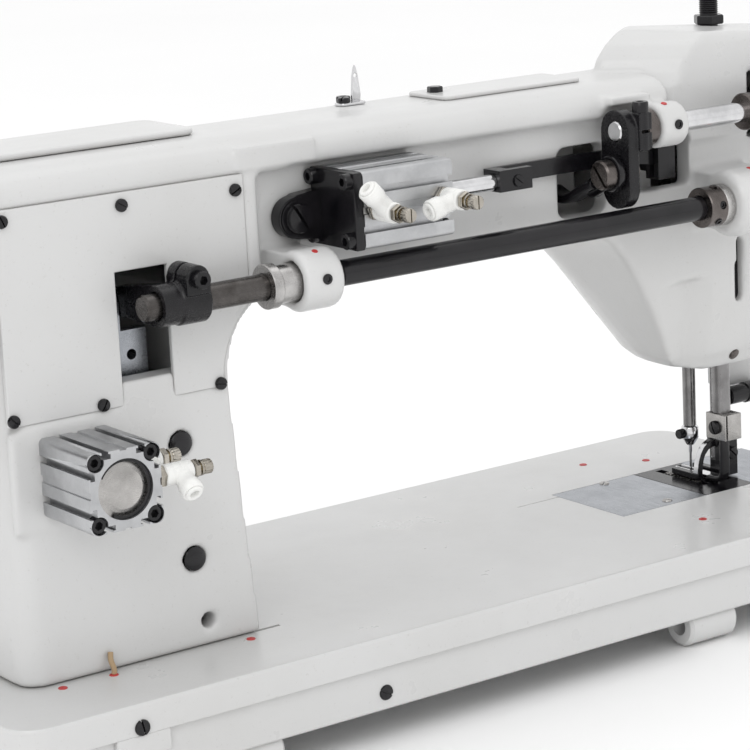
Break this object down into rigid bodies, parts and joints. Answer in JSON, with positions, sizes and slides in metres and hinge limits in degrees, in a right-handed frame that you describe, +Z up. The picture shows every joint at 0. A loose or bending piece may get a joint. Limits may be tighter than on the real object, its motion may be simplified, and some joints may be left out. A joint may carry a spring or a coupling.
{
  "type": "leather sewing machine",
  "caption": "Long-arm heavy-duty leather sewing machine head: cast bed, pillar and arm, rear rocking shafts, two square air cylinders, walking foot and presser foot.",
  "frame": {"origin": "middle of the machine's underside, on the plane of the hinge lugs under the bed skirt", "axes": "+X along the arm from the handwheel to the needle, +Y from the rear cylinders towards the operator, +Z up"},
  "size_m": [0.702, 0.26, 0.409],
  "materials": {
    "white_paint": "off-white stove enamel on cast metal, lightly dusty",
    "blackened_steel": "black oxide on machined steel, slightly oily",
    "ground_steel": "ground and oiled",
    "bright_steel": "polished and plated",
    "anodised_aluminium": "clear anodised extrusion, satin",
    "white_plastic": "moulded, semi-gloss",
    "fitting_brass": "turned, dull",
    "belt_rubber": "matt",
    "black_plastic": "moulded, matt",
    "black_iron": "black enamelled casting"
  },
  "bodies": {
    "machine": {"bed_casting": "white_paint", "arm_casting": "white_paint", "rear_cover": "white_paint", "pillar_top_lid": "white_paint", "arm_top_cover": "white_paint", "face_plate": "white_paint", "hole_plug_upper": "blackened_steel", "hole_plug_lower": "blackened_steel", "thread_guide": "bright_steel", "rock_shaft_bushing": "ground_steel", "lift_cylinder_body": "anodised_aluminium", "lift_bracket": "blackened_steel", "tack_cylinder_body": "anodised_aluminium", "lift_elbow_left": "white_plastic", "lift_elbow_right": "white_plastic", "tack_elbow_front": "white_plastic", "tack_elbow_rear": "white_plastic", "needle_plate": "blackened_steel", "bed_cover_plate": "ground_steel", "hook_saddle": "ground_steel", "tension_post": "bright_steel", "timing_belt": "belt_rubber"},
    "main_drive": {"handwheel": "black_iron", "main_shaft": "ground_steel"},
    "lower_drive": {"lower_shaft": "ground_steel"},
    "hook_unit": {"hook": "bright_steel"},
    "take_up": {"take_up_lever": "bright_steel"},
    "feed_rock": {"rock_shaft": "blackened_steel", "rock_shaft_collar": "ground_steel", "rock_clamp_lever": "blackened_steel"},
    "feed_rod": {"feed_link": "ground_steel"},
    "feed_teeth": {"feed_dog": "ground_steel"},
    "needle_cradle": {"needle_bar_frame": "ground_steel"},
    "needle_unit": {"needle_bar": "ground_steel", "needle_clamp": "bright_steel", "needle": "bright_steel"},
    "walking_unit": {"walking_bar": "ground_steel", "walking_foot": "ground_steel"},
    "walk_rocker": {"walk_shaft": "bright_steel", "walk_lever": "blackened_steel", "walk_shoulder_screw": "ground_steel", "walk_front_lever": "blackened_steel"},
    "walk_rod": {"walk_crank": "blackened_steel"},
    "presser_unit": {"presser_bar": "ground_steel", "presser_foot": "blackened_steel"},
    "lift_rod": {"lift_piston_rod": "bright_steel", "rod_clevis": "blackened_steel"},
    "lift_bar": {"lift_link": "blackened_steel"},
    "bell_crank": {"lift_bell_crank": "blackened_steel"},
    "tack_rod": {"tack_piston_rod": "bright_steel"},
    "knob_lift_left": {"lift_flow_knob_left": "fitting_brass"},
    "knob_lift_right": {"lift_flow_knob_right": "fitting_brass"},
    "knob_tack_front": {"tack_flow_knob_front": "fitting_brass"},
    "knob_tack_rear": {"tack_flow_knob_rear": "fitting_brass"},
    "pressure_adjuster": {"pressure_screw": "blackened_steel"},
    "bobbin_slide": {"bobbin_slide_plate": "ground_steel"},
    "stitch_length_dial": {"stitch_dial": "black_plastic"},
    "back_tack_lever": {"reverse_lever": "blackened_steel"},
    "foot_hand_lever": {"hand_lifter": "bright_steel"},
    "thread_tension_nut": {"tension_knob": "bright_steel"}
  },
  "joints": [
    {"name": "handwheel_turn", "type": "hinge", "parent": "machine", "child": "main_drive", "pos_m": [-0.313, 0.005, 0.305], "axis": [1, 0, 0], "continuous": true},
    {"name": "lower_shaft_turn", "type": "hinge", "parent": "machine", "child": "lower_drive", "pos_m": [-0.313, -0.016, 0.033], "axis": [1, 0, 0], "continuous": true},
    {"name": "hook_turn", "type": "hinge", "parent": "machine", "child": "hook_unit", "pos_m": [0.295, 0.0175, 0.035], "axis": [0, 0, 1], "continuous": true},
    {"name": "take_up_swing", "type": "hinge", "parent": "machine", "child": "take_up", "pos_m": [0.316, 0.04, 0.327], "axis": [1, 0, 0], "range_deg": [-20, 15]},
    {"name": "feed_rock_swing", "type": "hinge", "parent": "machine", "child": "feed_rock", "pos_m": [-0.113, -0.082, 0.268], "axis": [1, 0, 0], "range_deg": [-6, 6]},
    {"name": "feed_link_swing", "type": "hinge", "parent": "feed_rock", "child": "feed_rod", "pos_m": [-0.196, -0.034, 0.265], "axis": [1, 0, 0], "range_deg": [-6, 6]},
    {"name": "feed_dog_travel", "type": "slide", "parent": "machine", "child": "feed_teeth", "axis": [0, 1, 0], "range_m": [-0.006, 0.006]},
    {"name": "needle_cradle_swing", "type": "hinge", "parent": "machine", "child": "needle_cradle", "pos_m": [0.273, 0.005, 0.347], "axis": [1, 0, 0], "range_deg": [-1.3, 1.3]},
    {"name": "needle_stroke", "type": "slide", "parent": "needle_cradle", "child": "needle_unit", "axis": [0, 0, 1], "range_m": [-0.003, 0.035]},
    {"name": "walking_foot_lift", "type": "slide", "parent": "needle_cradle", "child": "walking_unit", "axis": [0, 0, 1], "range_m": [0, 0.008]},
    {"name": "walk_shaft_swing", "type": "hinge", "parent": "machine", "child": "walk_rocker", "pos_m": [0.187, -0.075, 0.322], "axis": [1, 0, 0], "range_deg": [0, 10]},
    {"name": "walk_crank_swing", "type": "hinge", "parent": "walk_rocker", "child": "walk_rod", "pos_m": [0.135, -0.075, 0.297], "axis": [1, 0, 0], "range_deg": [-10, 0]},
    {"name": "presser_foot_lift", "type": "slide", "parent": "machine", "child": "presser_unit", "axis": [0, 0, 1], "range_m": [0, 0.016]},
    {"name": "lift_rod_stroke", "type": "slide", "parent": "machine", "child": "lift_rod", "axis": [1, 0, 0], "range_m": [0, 0.012]},
    {"name": "lift_link_swing", "type": "hinge", "parent": "lift_rod", "child": "lift_bar", "pos_m": [0.0585, -0.074, 0.3035], "axis": [0, 1, 0], "range_deg": [-1.2, 0]},
    {"name": "bell_crank_swing", "type": "hinge", "parent": "machine", "child": "bell_crank", "pos_m": [0.189, -0.03, 0.327], "axis": [0, 1, 0], "range_deg": [-23, 0]},
    {"name": "tack_rod_stroke", "type": "slide", "parent": "machine", "child": "tack_rod", "axis": [0, 1, 0], "range_m": [0, 0.01]},
    {"name": "lift_flow_knob_left_turn", "type": "hinge", "parent": "machine", "child": "knob_lift_left", "pos_m": [-0.054, -0.12, 0.3035], "axis": [0, 1, 0], "range_deg": [0, 270]},
    {"name": "lift_flow_knob_right_turn", "type": "hinge", "parent": "machine", "child": "knob_lift_right", "pos_m": [-0.0075, -0.12, 0.3045], "axis": [0, 1, 0], "range_deg": [0, 270]},
    {"name": "tack_flow_knob_front_turn", "type": "hinge", "parent": "machine", "child": "knob_tack_front", "pos_m": [-0.187, -0.11, 0.183], "axis": [1, 0, 0], "range_deg": [0, 270]},
    {"name": "tack_flow_knob_rear_turn", "type": "hinge", "parent": "machine", "child": "knob_tack_rear", "pos_m": [-0.187, -0.077, 0.183], "axis": [1, 0, 0], "range_deg": [0, 270]},
    {"name": "pressure_screw_turn", "type": "hinge", "parent": "machine", "child": "pressure_adjuster", "pos_m": [0.286, 0.004, 0.385], "axis": [0, 0, 1], "range_deg": [-180, 180]},
    {"name": "bobbin_slide_travel", "type": "slide", "parent": "machine", "child": "bobbin_slide", "axis": [1, 0, 0], "range_m": [0, 0.045]},
    {"name": "stitch_dial_turn", "type": "hinge", "parent": "machine", "child": "stitch_length_dial", "pos_m": [-0.201, 0.069, 0.261], "axis": [0, 1, 0], "range_deg": [0, 330]},
    {"name": "reverse_lever_press", "type": "hinge", "parent": "machine", "child": "back_tack_lever", "pos_m": [-0.193, 0.069, 0.175], "axis": [0, 1, 0], "range_deg": [0, 18], "stiffness_Nm_per_rad": 1.5, "springref_deg": -5.73},
    {"name": "hand_lifter_swing", "type": "hinge", "parent": "machine", "child": "foot_hand_lever", "pos_m": [0.345, 0.03, 0.225], "axis": [1, 0, 0], "range_deg": [0, 35]},
    {"name": "tension_nut_turn", "type": "hinge", "parent": "machine", "child": "thread_tension_nut", "pos_m": [0.287, 0.085, 0.311], "axis": [0, 1, 0], "range_deg": [-180, 180]}
  ],
  "couplings": [
    {"joint": "lower_shaft_turn", "follows": "handwheel_turn", "ratio": 1},
    {"joint": "hook_turn", "follows": "handwheel_turn", "ratio": 2},
    {"joint": "feed_link_swing", "follows": "feed_rock_swing", "ratio": -1},
    {"joint": "feed_dog_travel", "follows": "feed_rock_swing", "m_per_rad": 0.057105},
    {"joint": "needle_cradle_swing", "follows": "feed_rock_swing", "ratio": 0.2165},
    {"joint": "walk_crank_swing", "follows": "walk_shaft_swing", "ratio": -1},
    {"joint": "walking_foot_lift", "follows": "walk_shaft_swing", "m_per_rad": 0.045722},
    {"joint": "lift_link_swing", "follows": "lift_rod_stroke", "rad_per_m": -1.6726},
    {"joint": "bell_crank_swing", "follows": "lift_rod_stroke", "rad_per_m": -33.307},
    {"joint": "presser_foot_lift", "follows": "lift_rod_stroke", "ratio": 1.333}
  ]
}
